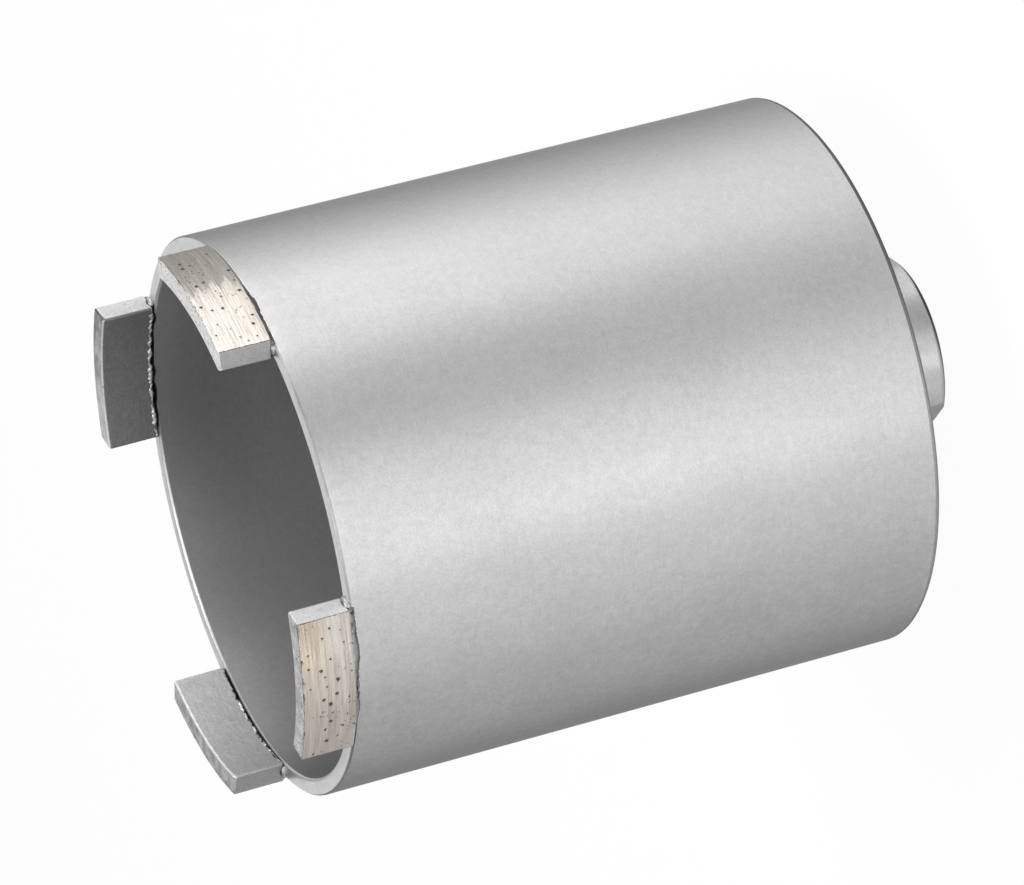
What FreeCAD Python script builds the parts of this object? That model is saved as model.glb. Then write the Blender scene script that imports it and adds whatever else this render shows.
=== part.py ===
import FreeCAD, Part
import os

import Sketcher

# Dry diamond core bit: a thin steel barrel, a welded back with a threaded hub, and four
# diamond segments welded to the rim.
# The bit stands on the flat end of its hub. The origin is the centre of that end face, and
# +Z runs along the axis towards the mouth. Sizes are in millimetres and degrees.

# Driving sizes, one named value each, kept in the sheet "Sizes".
SIZES = {
    # Barrel
    "tube_outer_diameter": 80.8,
    "tube_wall": 2.5,
    "tube_length": 88.0,
    "rim_chamfer": 0.3,
    "back_chamfer": 0.35,
    # Back plate, let into the barrel and welded round
    "plate_thickness": 6.0,
    "fit_clearance": 0.05,
    "plate_weld_leg": 1.2,
    "plate_weld_crown": 0.4,
    # Hub with its wrench flats and the core of its M16 thread
    "hub_diameter": 28.0,
    "hub_height": 14.5,
    "hub_chamfer": 0.85,
    "hub_spigot_diameter": 22.0,
    "wrench_width": 24.0,
    "wrench_depth": 9.0,
    "wrench_angle": 15.3,
    "thread_core_diameter": 14.0,
    "thread_mouth_diameter": 16.5,
    "hub_weld_leg": 3.0,
    "hub_weld_hollow": 0.35,
    # Diamond segments, each at its own place on the rim
    "segment_overhang": 0.6,
    "segment_thickness": 3.5,
    "segment_length": 23.5,
    "segment_height": 7.6,
    "segment_edge_radius": 0.45,
    "segment_1_angle": 47.3,
    "segment_2_angle": 137.5,
    "segment_3_angle": 228.5,
    "segment_4_angle": 317.1,
    # Weld seam under each segment, with a run-out bead at each of its ends
    "seam_gap": 0.4,
    "seam_leg": 0.9,
    "seam_bulge": 0.12,
    "seam_inset": 0.1,
    "bead_radius": 0.9,
    "bead_standoff": 0.15,
}
SEGMENT_COUNT = 4
SMALL = 1e-6

doc = FreeCAD.newDocument("diamond_core_bit")
sheet = doc.addObject("Spreadsheet::Sheet", "Sizes")
for row, (alias, size) in enumerate(SIZES.items(), start=1):
    sheet.set(f"A{row}", alias)
    sheet.set(f"B{row}", str(size))
    sheet.setAlias(f"B{row}", alias)
doc.recompute()

# Places that several pieces share, as expressions over the sheet.
OUTER = "(Sizes.tube_outer_diameter / 2)"
BORE = f"({OUTER} - Sizes.tube_wall)"
BACK = "Sizes.hub_height"
RIM = f"({BACK} + Sizes.tube_length)"
GROOVE = f"({BACK} + Sizes.plate_weld_leg)"
PLATE_EDGE = f"({BORE} - Sizes.fit_clearance)"
PLATE_INSIDE = f"({BACK} + Sizes.plate_thickness)"
HUB_EDGE = "(Sizes.hub_diameter / 2)"
SPIGOT = "(Sizes.hub_spigot_diameter / 2)"
CORE = "(Sizes.thread_core_diameter / 2)"
MOUTH = "(Sizes.thread_mouth_diameter / 2)"
LEAD_IN = f"({MOUTH} - {CORE})"
RIM_MIDDLE = f"(({OUTER} + {BORE}) / 2)"
FOOT = f"({RIM} + Sizes.seam_gap)"
CUT_OUTSIDE = f"({OUTER} + Sizes.segment_overhang)"
CUT_INSIDE = f"({CUT_OUTSIDE} - Sizes.segment_thickness)"
HALF_SEGMENT = "(Sizes.segment_length / 2)"


def work_out(expression):
    """Give an expression's number, for a first guess that the sketch solver starts from."""
    return float(sheet.evalExpression(expression))


def new_body(label):
    """Start a body whose label is the name of its piece."""
    body = doc.addObject("PartDesign::Body", label)
    body.Label = label
    return body


def origin_plane(body, role):
    """Find one of a body's own origin planes by its role."""
    return next(f for f in body.Origin.OriginFeatures if f.Role == role)


def new_sketch(body, name, role):
    """Attach an empty sketch to one of the body's own origin planes."""
    sketch = body.newObject("Sketcher::SketchObject", name)
    sketch.AttachmentSupport = [(origin_plane(body, role), "")]
    sketch.MapMode = "FlatFace"
    return sketch


def bind(sketch, constraint, name, expression):
    """Add a driving constraint under a name and tie it to the sheet."""
    index = sketch.addConstraint(constraint)
    sketch.renameConstraint(index, name)
    sketch.setExpression(f"Constraints.{name}", expression)


def place_point(sketch, geometry, vertex, name, across, up):
    """Fix a point of a sketch by its distances across and up from the origin."""
    for kind, axis, text in (("DistanceX", -2, across), ("DistanceY", -1, up)):
        if text == "0":
            sketch.addConstraint(Sketcher.Constraint("PointOnObject", geometry, vertex, axis))
        else:
            away = Sketcher.Constraint(kind, -1, 1, geometry, vertex, work_out(text))
            bind(sketch, away, f"{name}_{kind[-1].lower()}", text)


def half_section(body, name, corners):
    """Draw a closed half section and give its sketch.

    Each corner is a name, a radius and a height, as expressions. A corner with a second
    radius and height starts an arc through that point, and any other starts a straight edge.
    """
    sketch = new_sketch(body, name, "XZ_Plane")
    spots = [FreeCAD.Vector(work_out(c[1]), work_out(c[2]), 0) for c in corners]
    heads = []
    for i, corner in enumerate(corners):
        start, stop = spots[i], spots[(i + 1) % len(spots)]
        if len(corner) > 3:
            through = FreeCAD.Vector(work_out(corner[3]), work_out(corner[4]), 0)
            sketch.addGeometry(Part.Arc(start, through, stop), False)
        else:
            sketch.addGeometry(Part.LineSegment(start, stop), False)
        heads.append(1 if sketch.getPoint(i, 1).distanceToPoint(start) < SMALL else 2)
    for i, corner in enumerate(corners):
        after = (i + 1) % len(corners)
        tail = 3 - heads[i]
        sketch.addConstraint(Sketcher.Constraint("Coincident", i, tail, after, heads[after]))
        place_point(sketch, i, heads[i], corner[0], corner[1], corner[2])
    for i, corner in enumerate(corners):
        if len(corner) > 3:
            through = FreeCAD.Vector(work_out(corner[3]), work_out(corner[4]), 0)
            guide = sketch.addGeometry(Part.Point(through), True)
            place_point(sketch, guide, 1, f"{corner[0]}_bend", corner[3], corner[4])
            sketch.addConstraint(Sketcher.Constraint("PointOnObject", guide, 1, i))
    return sketch


def turn(body, name, sketch, angle="360"):
    """Revolve a half section about the axis, evenly to both sides of its plane."""
    solid = body.newObject("PartDesign::Revolution", name)
    solid.Profile = (sketch, [""])
    solid.ReferenceAxis = (sketch, ["V_Axis"])
    if angle != "360":
        solid.Midplane = True
        solid.setExpression("Angle", angle)
    doc.recompute()
    return solid


def make_barrel():
    """The tube, with both rim edges broken and its back bevelled inside for the weld."""
    body = new_body("barrel")
    chamfer = "Sizes.rim_chamfer"
    section = half_section(body, "barrel_section", [
        ("bore_back", BORE, GROOVE),
        ("bevel_back", f"({BORE} + Sizes.plate_weld_leg)", BACK),
        ("back_face", f"({OUTER} - Sizes.back_chamfer)", BACK),
        ("back_corner", OUTER, f"({BACK} + Sizes.back_chamfer)"),
        ("rim_corner", OUTER, f"({RIM} - {chamfer})"),
        ("rim_outside", f"({OUTER} - {chamfer})", RIM),
        ("rim_inside", f"({BORE} + {chamfer})", RIM),
        ("bore_rim", BORE, f"({RIM} - {chamfer})"),
    ])
    turn(body, "barrel_turned", section)
    return body


def make_back_plate():
    """The disc that closes the barrel, bevelled for the weld, with a hole for the hub."""
    body = new_body("back_plate")
    hole = f"({SPIGOT} + Sizes.fit_clearance)"
    section = half_section(body, "plate_section", [
        ("hole_outside", hole, BACK),
        ("bevel_inner", f"({PLATE_EDGE} - Sizes.plate_weld_leg)", BACK),
        ("bevel_outer", PLATE_EDGE, GROOVE),
        ("edge_inside", PLATE_EDGE, PLATE_INSIDE),
        ("hole_inside", hole, PLATE_INSIDE),
    ])
    turn(body, "plate_turned", section)
    return body


def make_plate_weld():
    """The weld that fills the bevels of barrel and plate, crowned on the outside."""
    body = new_body("plate_weld")
    section = half_section(body, "plate_weld_section", [
        ("toe_plate", f"({PLATE_EDGE} - Sizes.plate_weld_leg)", BACK,
         BORE, f"({BACK} - Sizes.plate_weld_crown)"),
        ("toe_barrel", f"({BORE} + Sizes.plate_weld_leg)", BACK),
        ("root_barrel", BORE, GROOVE),
        ("root_plate", PLATE_EDGE, GROOVE),
    ])
    turn(body, "plate_weld_turned", section)
    return body


def make_hub():
    """The turned hub: shoulder on the plate, spigot through it, thread core, wrench flats."""
    body = new_body("hub")
    section = half_section(body, "hub_section", [
        ("core_outside", CORE, LEAD_IN),
        ("mouth", MOUTH, "0"),
        ("end_face", f"({HUB_EDGE} - Sizes.hub_chamfer)", "0"),
        ("end_corner", HUB_EDGE, "Sizes.hub_chamfer"),
        ("shoulder", HUB_EDGE, BACK),
        ("spigot_root", SPIGOT, BACK),
        ("spigot_end", SPIGOT, PLATE_INSIDE),
        ("inner_mouth", MOUTH, PLATE_INSIDE),
        ("core_inside", CORE, f"({PLATE_INSIDE} - {LEAD_IN})"),
    ])
    turned = turn(body, "hub_turned", section)
    flats = new_sketch(body, "wrench_flats", "XY_Plane")
    half_width = work_out("Sizes.wrench_width / 2")
    reach = work_out("Sizes.hub_diameter")
    for side in (1, -1):
        near, far = side * half_width, side * reach
        corners = [FreeCAD.Vector(x, y, 0) for x, y in
                   ((near, -reach), (far, -reach), (far, reach), (near, reach))]
        first = flats.GeometryCount
        for i in range(4):
            flats.addGeometry(Part.LineSegment(corners[i], corners[(i + 1) % 4]), False)
        for i in range(4):
            after = first + (i + 1) % 4
            flats.addConstraint(Sketcher.Constraint("Coincident", first + i, 2, after, 1))
        for i, run in enumerate(("Horizontal", "Vertical", "Horizontal")):
            flats.addConstraint(Sketcher.Constraint(run, first + i))
        flats.addConstraint(Sketcher.Constraint("Symmetric", first + 3, 1, first + 3, 2, -1))
        name = "right" if side > 0 else "left"
        ends = (-1, 1, first, 1) if side > 0 else (first, 1, -1, 1)
        bind(flats, Sketcher.Constraint("DistanceX", *ends, half_width),
             f"{name}_face", "Sizes.wrench_width / 2")
        ends = (-1, 1, first, 2) if side > 0 else (first, 2, -1, 1)
        bind(flats, Sketcher.Constraint("DistanceX", *ends, reach),
             f"{name}_reach", "Sizes.hub_diameter")
        bind(flats, Sketcher.Constraint("DistanceY", first + 1, 1, first + 1, 2, 2 * reach),
             f"{name}_span", "Sizes.hub_diameter * 2")
    cut = body.newObject("PartDesign::Pocket", "wrench_cut")
    cut.Profile = (flats, [""])
    cut.Reversed = True
    cut.setExpression("Length", "Sizes.wrench_depth")
    doc.recompute()
    if cut.Shape.Volume > turned.Shape.Volume - SMALL:
        raise RuntimeError("the wrench flats cut nothing")
    body.setExpression("Placement.Rotation.Angle", "Sizes.wrench_angle")
    return body


def make_hub_weld():
    """The slightly hollow fillet weld between the hub's shoulder and the plate."""
    body = new_body("hub_weld")
    leg = "Sizes.hub_weld_leg"
    middle = f"({leg} / 2 - Sizes.hub_weld_hollow)"
    section = half_section(body, "hub_weld_section", [
        ("root", HUB_EDGE, BACK),
        ("toe_hub", HUB_EDGE, f"({BACK} - {leg})",
         f"({HUB_EDGE} + {middle})", f"({BACK} - {middle})"),
        ("toe_plate", f"({HUB_EDGE} + {leg})", BACK),
    ])
    turn(body, "hub_weld_turned", section)
    return body


def segment_outline(body, name):
    """Draw a segment from above: two arcs about the axis, joined by parallel ends."""
    sketch = new_sketch(body, name, "XY_Plane")
    outside, inside, half = (work_out(e) for e in (CUT_OUTSIDE, CUT_INSIDE, HALF_SEGMENT))
    spots = {}
    for key, radius in (("out", outside), ("in", inside)):
        across = (radius * radius - half * half) ** 0.5
        spots[key] = [FreeCAD.Vector(across, -half, 0), FreeCAD.Vector(radius, 0, 0),
                      FreeCAD.Vector(across, half, 0)]
    sketch.addGeometry(Part.Arc(*spots["out"]), False)
    sketch.addGeometry(Part.LineSegment(spots["out"][2], spots["in"][2]), False)
    sketch.addGeometry(Part.Arc(*spots["in"]), False)
    sketch.addGeometry(Part.LineSegment(spots["in"][0], spots["out"][0]), False)
    for pair in ((0, 2, 1, 1), (1, 2, 2, 2), (2, 1, 3, 1), (3, 2, 0, 1)):
        sketch.addConstraint(Sketcher.Constraint("Coincident", *pair))
    for arc in (0, 2):
        sketch.addConstraint(Sketcher.Constraint("Coincident", arc, 3, -1, 1))
    for end in (1, 3):
        sketch.addConstraint(Sketcher.Constraint("Horizontal", end))
    sketch.addConstraint(Sketcher.Constraint("Symmetric", 0, 1, 0, 2, -1))
    bind(sketch, Sketcher.Constraint("Radius", 0, outside), "outside", CUT_OUTSIDE)
    bind(sketch, Sketcher.Constraint("Radius", 2, inside), "inside", CUT_INSIDE)
    bind(sketch, Sketcher.Constraint("DistanceY", 0, 1, 0, 2, 2 * half), "length",
         "Sizes.segment_length")
    return sketch


def set_on_rim(body, number, height):
    """Turn a piece from the X axis to its segment's place and lift it to its height."""
    body.setExpression("Placement.Rotation.Angle", f"Sizes.segment_{number}_angle")
    if height:
        body.setExpression("Placement.Base.z", height)


def inner_and_end_edges(shape):
    """Name the edges that aren't ground: those of the inner face and of the two ends' tops."""
    box = shape.BoundBox
    inside = work_out(CUT_INSIDE)
    chosen = []
    for number, edge in enumerate(shape.Edges, start=1):
        spots = [v.Point for v in edge.Vertexes]
        top = all(abs(p.z - box.ZMax) < SMALL for p in spots)
        foot = all(abs(p.z - box.ZMin) < SMALL for p in spots)
        inner = all(abs((p.x ** 2 + p.y ** 2) ** 0.5 - inside) < SMALL for p in spots)
        straight = isinstance(edge.Curve, Part.Line)
        if (inner and not foot) or (top and straight):
            chosen.append(f"Edge{number}")
    return chosen


def make_segment(number):
    """One diamond segment: its outline raised, with soft inner edges and crisp ground ones."""
    body = new_body(f"segment_{number}")
    raised = body.newObject("PartDesign::Pad", f"segment_{number}_raised")
    raised.Profile = (segment_outline(body, f"segment_{number}_outline"), [""])
    raised.setExpression("Length", "Sizes.segment_height")
    doc.recompute()
    soft = body.newObject("PartDesign::Fillet", f"segment_{number}_edges")
    soft.Base = (raised, inner_and_end_edges(raised.Shape))
    soft.setExpression("Radius", "Sizes.segment_edge_radius")
    set_on_rim(body, number, FOOT)
    return body


def make_segment_weld(number):
    """One seam between rim and segment: fillet outside, undercut inside, a bead at each end."""
    label = f"segment_weld_{number}"
    body = new_body(label)
    chamfer = "Sizes.rim_chamfer"
    section = half_section(body, f"{label}_section", [
        ("toe", OUTER, f"({RIM} - Sizes.seam_leg)",
         f"(({OUTER} + {CUT_OUTSIDE}) / 2 + Sizes.seam_bulge)",
         f"({FOOT} - (Sizes.seam_leg + Sizes.seam_gap) / 2)"),
        ("top_outside", f"({CUT_OUTSIDE} - Sizes.seam_inset)", FOOT),
        ("top_inside", f"({CUT_INSIDE} + Sizes.seam_inset)", FOOT,
         f"({CUT_INSIDE} + Sizes.seam_inset + Sizes.rim_chamfer / 2)",
         f"({RIM} + Sizes.seam_gap / 4)"),
        ("rim_inside", f"({BORE} + {chamfer})", RIM),
        ("rim_outside", f"({OUTER} - {chamfer})", RIM),
        ("rim_corner", OUTER, f"({RIM} - {chamfer})"),
    ])
    segment_turn = f"2 * asin({HALF_SEGMENT} / {CUT_OUTSIDE})"
    turn(body, f"{label}_seam", section, segment_turn)
    beyond = f"({HALF_SEGMENT} + Sizes.bead_standoff)"
    plane = origin_plane(body, "XY_Plane")
    for side, name in ((1, "left"), (-1, "right")):
        bead = body.newObject("PartDesign::AdditiveSphere", f"{label}_{name}_bead")
        bead.AttachmentSupport = [(plane, "")]
        bead.MapMode = "FlatFace"
        bead.Angle1 = 0
        bead.setExpression("Radius", "Sizes.bead_radius")
        bead.setExpression("AttachmentOffset.Base.x", f"sqrt({RIM_MIDDLE} ^ 2 - {beyond} ^ 2)")
        bead.setExpression("AttachmentOffset.Base.y", f"{side} * {beyond}")
        bead.setExpression("AttachmentOffset.Base.z", RIM)
        doc.recompute()
    seat = segment_outline(body, f"{label}_seat")
    seat.setExpression("AttachmentOffset.Base.z", FOOT)
    cut = body.newObject("PartDesign::Pocket", f"{label}_cut")
    cut.Profile = (seat, [""])
    cut.Reversed = True
    cut.setExpression("Length", "Sizes.segment_height")
    doc.recompute()
    if cut.Shape.Volume > bead.Shape.Volume - SMALL:
        raise RuntimeError(f"{label} isn't cut back from its segment")
    set_on_rim(body, number, None)
    return body


pieces = [make_barrel(), make_back_plate(), make_plate_weld(), make_hub(), make_hub_weld()]
for number in range(1, SEGMENT_COUNT + 1):
    pieces.append(make_segment(number))
    pieces.append(make_segment_weld(number))
doc.recompute()

for item in doc.Objects:
    if "Invalid" in item.State or "Error" in item.State:
        raise RuntimeError(f"{item.Name} failed: {item.State}")
os.makedirs("parts", exist_ok=True)
for piece in pieces:
    shape = piece.Shape
    if shape.isNull() or not shape.isValid() or len(shape.Solids) != 1:
        raise RuntimeError(f"{piece.Label} isn't one valid solid")
for piece in pieces:
    piece.Shape.exportStep(f"parts/{piece.Label}.step")
    print(f"{piece.Label}: {piece.Shape.Volume:.1f} mm3")
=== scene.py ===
# %% [markdown]
# # A dry diamond core bit
#
# The object is a core bit for drilling masonry without water: a thin steel barrel, open at
# the front, with four diamond segments welded to its rim and a threaded hub behind.
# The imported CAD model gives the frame, in metres, with the bit standing on its hub.
# Each cell below first says what a piece is on the real bit, and then makes it.

import math

import bpy
import numpy as np
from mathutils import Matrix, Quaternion, Vector


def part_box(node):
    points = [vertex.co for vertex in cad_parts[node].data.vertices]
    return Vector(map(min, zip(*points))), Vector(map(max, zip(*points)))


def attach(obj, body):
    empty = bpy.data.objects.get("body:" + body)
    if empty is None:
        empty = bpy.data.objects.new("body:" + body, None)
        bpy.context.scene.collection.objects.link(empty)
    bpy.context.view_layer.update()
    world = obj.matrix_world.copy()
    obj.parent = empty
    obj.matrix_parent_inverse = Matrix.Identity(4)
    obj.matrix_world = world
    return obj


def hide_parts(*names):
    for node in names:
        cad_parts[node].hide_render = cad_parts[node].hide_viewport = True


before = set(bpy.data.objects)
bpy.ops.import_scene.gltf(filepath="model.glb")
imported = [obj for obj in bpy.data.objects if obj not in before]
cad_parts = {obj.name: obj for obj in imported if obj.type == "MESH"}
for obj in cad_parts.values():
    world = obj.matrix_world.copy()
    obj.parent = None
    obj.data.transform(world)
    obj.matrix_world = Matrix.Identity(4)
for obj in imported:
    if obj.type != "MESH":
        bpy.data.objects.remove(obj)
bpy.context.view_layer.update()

# %% [markdown]
# ## Sizes
#
# The main radii and heights are read from the CAD nodes, so a new model.glb moves the pieces
# too.
# What a box can't tell, such as the wall's thickness, is a value of its own.
# Everything is worked out in millimetres and turned into metres when a mesh is made.

# %% Sizes in millimetres
METRE = 1000.0


def node_span(name):
    """Give a CAD node's lowest and highest corner in millimetres."""
    low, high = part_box(name)
    return np.array(low) * METRE, np.array(high) * METRE


barrel_low, barrel_high = node_span("barrel")
plate_high = node_span("back_plate")[1]
segment_low, segment_high = node_span("segment_1")

OUTER = barrel_high[0]
WALL = 2.5
BORE = OUTER - WALL
BACK, RIM = barrel_low[2], barrel_high[2]
RIM_CHAMFER, BACK_CHAMFER = 0.3, 0.35
PLATE_EDGE, PLATE_INSIDE = plate_high[0], plate_high[2]
WELD_LEG = 1.2
HUB_EDGE, SPIGOT = 14.0, 11.0
FOOT, TIP = segment_low[2], segment_high[2]
OVERHANG = 0.6
CUT_OUTSIDE = OUTER + OVERHANG
SEGMENT_DEPTH, SEGMENT_LENGTH, SEGMENT_HEIGHT = 3.25, 23.5, TIP - FOOT
HALF = SEGMENT_LENGTH / 2
CUT_INSIDE = CUT_OUTSIDE - SEGMENT_DEPTH
SEGMENT_ANGLES = {1: 47.3, 2: 138.1, 3: 228.8, 4: 317.4}
SEGMENT_LEANS = {1: -0.5, 2: -0.6, 3: 0.45, 4: -0.35}
print(f"barrel {OUTER:.2f} over {BORE:.2f}, z {BACK:.2f} to {RIM:.2f}; segments to {TIP:.2f}")

# %% [markdown]
# ## From a grid of points to a piece
#
# Every new piece is a surface worked out as a whole array of points: rows along one
# parameter, columns round the other. A ring, such as the barrel, closes in both directions.
# A bar, such as a segment, closes round its section and ends in a pole at each end.
# The faces are index arrays too, so no step walks over single points.


# %% Grid helpers
def ring_faces(rows, columns):
    """Join a grid that closes both ways: each face takes a point, its right neighbour, and
    the two above them, with row and column numbers counted round."""
    row, column = np.meshgrid(np.arange(rows), np.arange(columns), indexing="ij")
    above, beside = (row + 1) % rows, (column + 1) % columns
    corners = ((row, column), (row, beside), (above, beside), (above, column))
    return np.stack([r * columns + c for r, c in corners], axis=-1).reshape(-1, 4)


def bar_faces(rows, columns):
    """Join a grid that closes round its columns, and fan each end row to a pole.

    The poles are the two points after the grid: first that of the first row."""
    sides = ring_faces(rows, columns).reshape(rows, columns, 4)[:-1].reshape(-1, 4)
    column = np.arange(columns)
    beside = (column + 1) % columns
    first = np.stack([beside, column, np.full(columns, rows * columns)], axis=-1)
    start = (rows - 1) * columns
    last = np.stack([start + column, start + beside,
                     np.full(columns, rows * columns + 1)], axis=-1)
    return sides, np.concatenate([first, last])


def signed_volume(points, triangles):
    """A sixth of the sum of each triangle's triple product: negative if it is inside out."""
    a, b, c = (points[triangles[:, i]] for i in range(3))
    return float(np.einsum("ij,ij->i", np.cross(a, b), c).sum() / 6)


def add_object(name, data):
    """Put a mesh, a lamp or a camera into the scene."""
    made = bpy.data.objects.new(name, data)
    bpy.context.scene.collection.objects.link(made)
    return made


def new_piece(name, points, face_sets, finishes, slot, replaced=(), sharp=40.0, marks=None,
              chosen=None):
    """Make a piece from points in millimetres and sets of faces, and put it on the bit.

    Its faces are turned outwards if its volume says that they point inwards. Edges sharper
    than the angle stay crisp and all others are shaded smooth. Marks are numbers per point
    that its finish reads by name. Chosen is the number of the finish that each face takes."""
    triangles = np.concatenate([np.concatenate([f[:, [0, i, i + 1]]
                                for i in range(1, f.shape[1] - 1)]) for f in face_sets])
    volume = signed_volume(points, triangles)
    if volume < 0:
        face_sets = [f[:, ::-1] for f in face_sets]
    mesh = bpy.data.meshes.new(name)
    faces = [row for f in face_sets for row in f.tolist()]
    mesh.from_pydata((points / METRE).tolist(), [], faces)
    mesh.update()
    mesh.polygons.foreach_set("use_smooth", np.ones(len(faces), bool))
    mesh.set_sharp_from_angle(angle=math.radians(sharp))
    for mark_name, values in (marks or {}).items():
        layer = mesh.attributes.new(mark_name, "FLOAT", "POINT")
        layer.data.foreach_set("value", np.asarray(values, np.float32).ravel())
    for finish in finishes:
        mesh.materials.append(finish)
    if chosen is not None:
        mesh.polygons.foreach_set("material_index", chosen.astype(np.int32))
    piece = add_object(name, mesh)
    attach(piece, "root")
    if replaced:
        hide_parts(*replaced)
    print(f"{name}: {len(triangles)} triangles, {abs(volume):.1f} mm3")


def ring_piece(name, grid, finishes, slot, **more):
    """Make a piece from a grid that closes both ways."""
    new_piece(name, grid.reshape(-1, 3), [ring_faces(*grid.shape[:2])], finishes, slot, **more)


def full_turn(count):
    """Even angles round a full turn, without its end."""
    return np.linspace(0, 2 * np.pi, count, endpoint=False)


def round_axis(radius, angle, height):
    """Points at a radius, an angle and a height, as arrays of x, y and z."""
    return np.stack(np.broadcast_arrays(radius * np.cos(angle), radius * np.sin(angle),
                                        height), axis=-1)


def patchy(across, along, seed):
    """Smooth random heights from 0 to 1 over two parameters: a random number at each whole
    corner, blended between the corners with the weight 3t^2 - 2t^3."""
    size = 256
    table = np.random.default_rng(seed).random((size, size))
    i, j = np.floor(across).astype(int), np.floor(along).astype(int)
    u, v = across - i, along - j
    u, v = u * u * (3 - 2 * u), v * v * (3 - 2 * v)
    near = table[i % size, j % size] * (1 - u) + table[(i + 1) % size, j % size] * u
    far = table[i % size, (j + 1) % size] * (1 - u)
    far = far + table[(i + 1) % size, (j + 1) % size] * u
    return near * (1 - v) + far * v


def eased(values, low, high):
    """Rise from 0 at low to 1 at high along the curve 3t^2 - 2t^3."""
    t = np.clip((values - low) / (high - low), 0, 1)
    return t * t * (3 - 2 * t)


def hump(values, middle, width):
    """A soft hump: e to the power of minus the square of the distance over the width."""
    return np.exp(-((values - middle) / width) ** 2)


print("faces of a ring of 3 by 4 points:", len(ring_faces(3, 4)))

# %% [markdown]
# ## Nodes for the finishes
#
# Each finish is procedural: noise in the object's own coordinates, scaled to millimetres,
# changes the colour, the roughness and a fine relief. Small helpers keep the node code
# short, and each adds to the finish that was started last. A mark is a number that a piece
# carries at each of its points, such as how worn it is there, so that a finish can change
# from place to place without any picture.


# %% Node helpers
trees = []


def fill(made, sockets):
    """Fill a node's sockets with plain values or with other nodes' outputs."""
    for key, value in sockets.items():
        if isinstance(value, bpy.types.NodeSocket):
            trees[-1].links.new(value, made.inputs[key])
        else:
            made.inputs[key].default_value = value
    return made


def node(kind, sockets, **settings):
    """Add a node to the finish that was started last, and fill its sockets."""
    made = trees[-1].nodes.new("ShaderNode" + kind)
    for key, value in settings.items():
        setattr(made, key, value)
    return fill(made, sockets)


def new_finish(name):
    """Start a finish and give it, its shader and a place in millimetres."""
    finish = bpy.data.materials.new(name)
    finish.use_nodes = True
    trees.append(finish.node_tree)
    place = node("TexCoord", {}).outputs["Object"]
    scaled = node("Mapping", {"Vector": place, "Scale": (METRE, METRE, METRE)})
    return finish, trees[-1].nodes["Principled BSDF"], scaled.outputs[0]


def grain(place, stretch, detail=2.0, roughness=0.5):
    """Noise whose patches are one over stretch millimetres long, in x, y and z or in all."""
    scale = stretch if isinstance(stretch, tuple) else (stretch,) * 3
    squeezed = node("Mapping", {"Vector": place, "Scale": scale}).outputs[0]
    return node("TexNoise", {"Vector": squeezed, "Scale": 1.0, "Detail": detail,
                             "Roughness": roughness}).outputs[0]


def spread(value, low, high, out_low=0.0, out_high=1.0):
    """Map a range of one value onto another range, held at its ends."""
    return node("MapRange", {"Value": value, "From Min": low, "From Max": high,
                             "To Min": out_low, "To Max": out_high}).outputs[0]


def swing(noise, size):
    """Turn the usual range of noise, 0.3 to 0.7, into a swing from minus to plus a size."""
    return spread(noise, 0.3, 0.7, -size, size)


def times(one, other):
    """Multiply two values."""
    return node("Math", {0: one, 1: other}, operation="MULTIPLY").outputs[0]


def plus(total, *others):
    """Add values one after the other."""
    for other in others:
        total = node("Math", {0: total, 1: other}, operation="ADD").outputs[0]
    return total


def tint(share, one, other):
    """Mix two colours by a share."""
    return node("Mix", {0: share, 6: one, 7: other}, data_type="RGBA").outputs[2]


def mark(name):
    """Read one of the piece's marks."""
    return node("Attribute", {}, attribute_name=name).outputs["Fac"]


def grey(level, warm=0.0):
    """A grey of one level, slightly warmer or cooler."""
    return (level * (1 + warm), level, level * (1 - warm), 1.0)


def dress(shader, colour, gloss, relief, edge, metal=1.0, stretched=0.0):
    """Fill in a shader: its colour, its roughness, its relief as heights, strength and size
    in millimetres, the level that it takes at a glancing angle, its metal share, and how
    far its highlights are drawn out along the bit's axis."""
    heights, strength, size = relief
    bump = node("Bump", {"Strength": strength, "Distance": size / METRE, "Height": heights})
    fill(shader, {"Base Color": colour, "Roughness": gloss, "Normal": bump.outputs[0],
                  "Specular Tint": grey(edge), "Metallic": metal, "Anisotropic": stretched})
    if stretched:
        fill(shader, {"Tangent": node("CombineXYZ", {"Z": 1.0}).outputs[0]})


print("a warm mid grey:", [round(v, 3) for v in grey(0.5, 0.02)])

# %% [markdown]
# ## Silver finish of the steel
#
# The barrel and hub are brushed round their axis on a belt and sprayed with a thin silver
# lacquer. So the gloss is a satin metal's, with a fine speckle, soft blotches and short
# faint strokes round the barrel. The strokes come from noise that is squeezed hard along the
# axis and hardly across it, which needs no seam. Brushing also stretches each highlight
# along the axis. A mark per point darkens the lacquer: mostly painted shade and painted dark
# reflections, with some weld scorch along the bore under the segments.

# %% Silver steel
BRUSH_STRETCH = (0.3, 0.3, 8.0)
SPECKLE_STRETCH, CLOUD_STRETCH, BLOTCH_STRETCH = 4.5, 0.09, 0.9
BRUSH_RELIEF = (0.4, 0.03)


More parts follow.
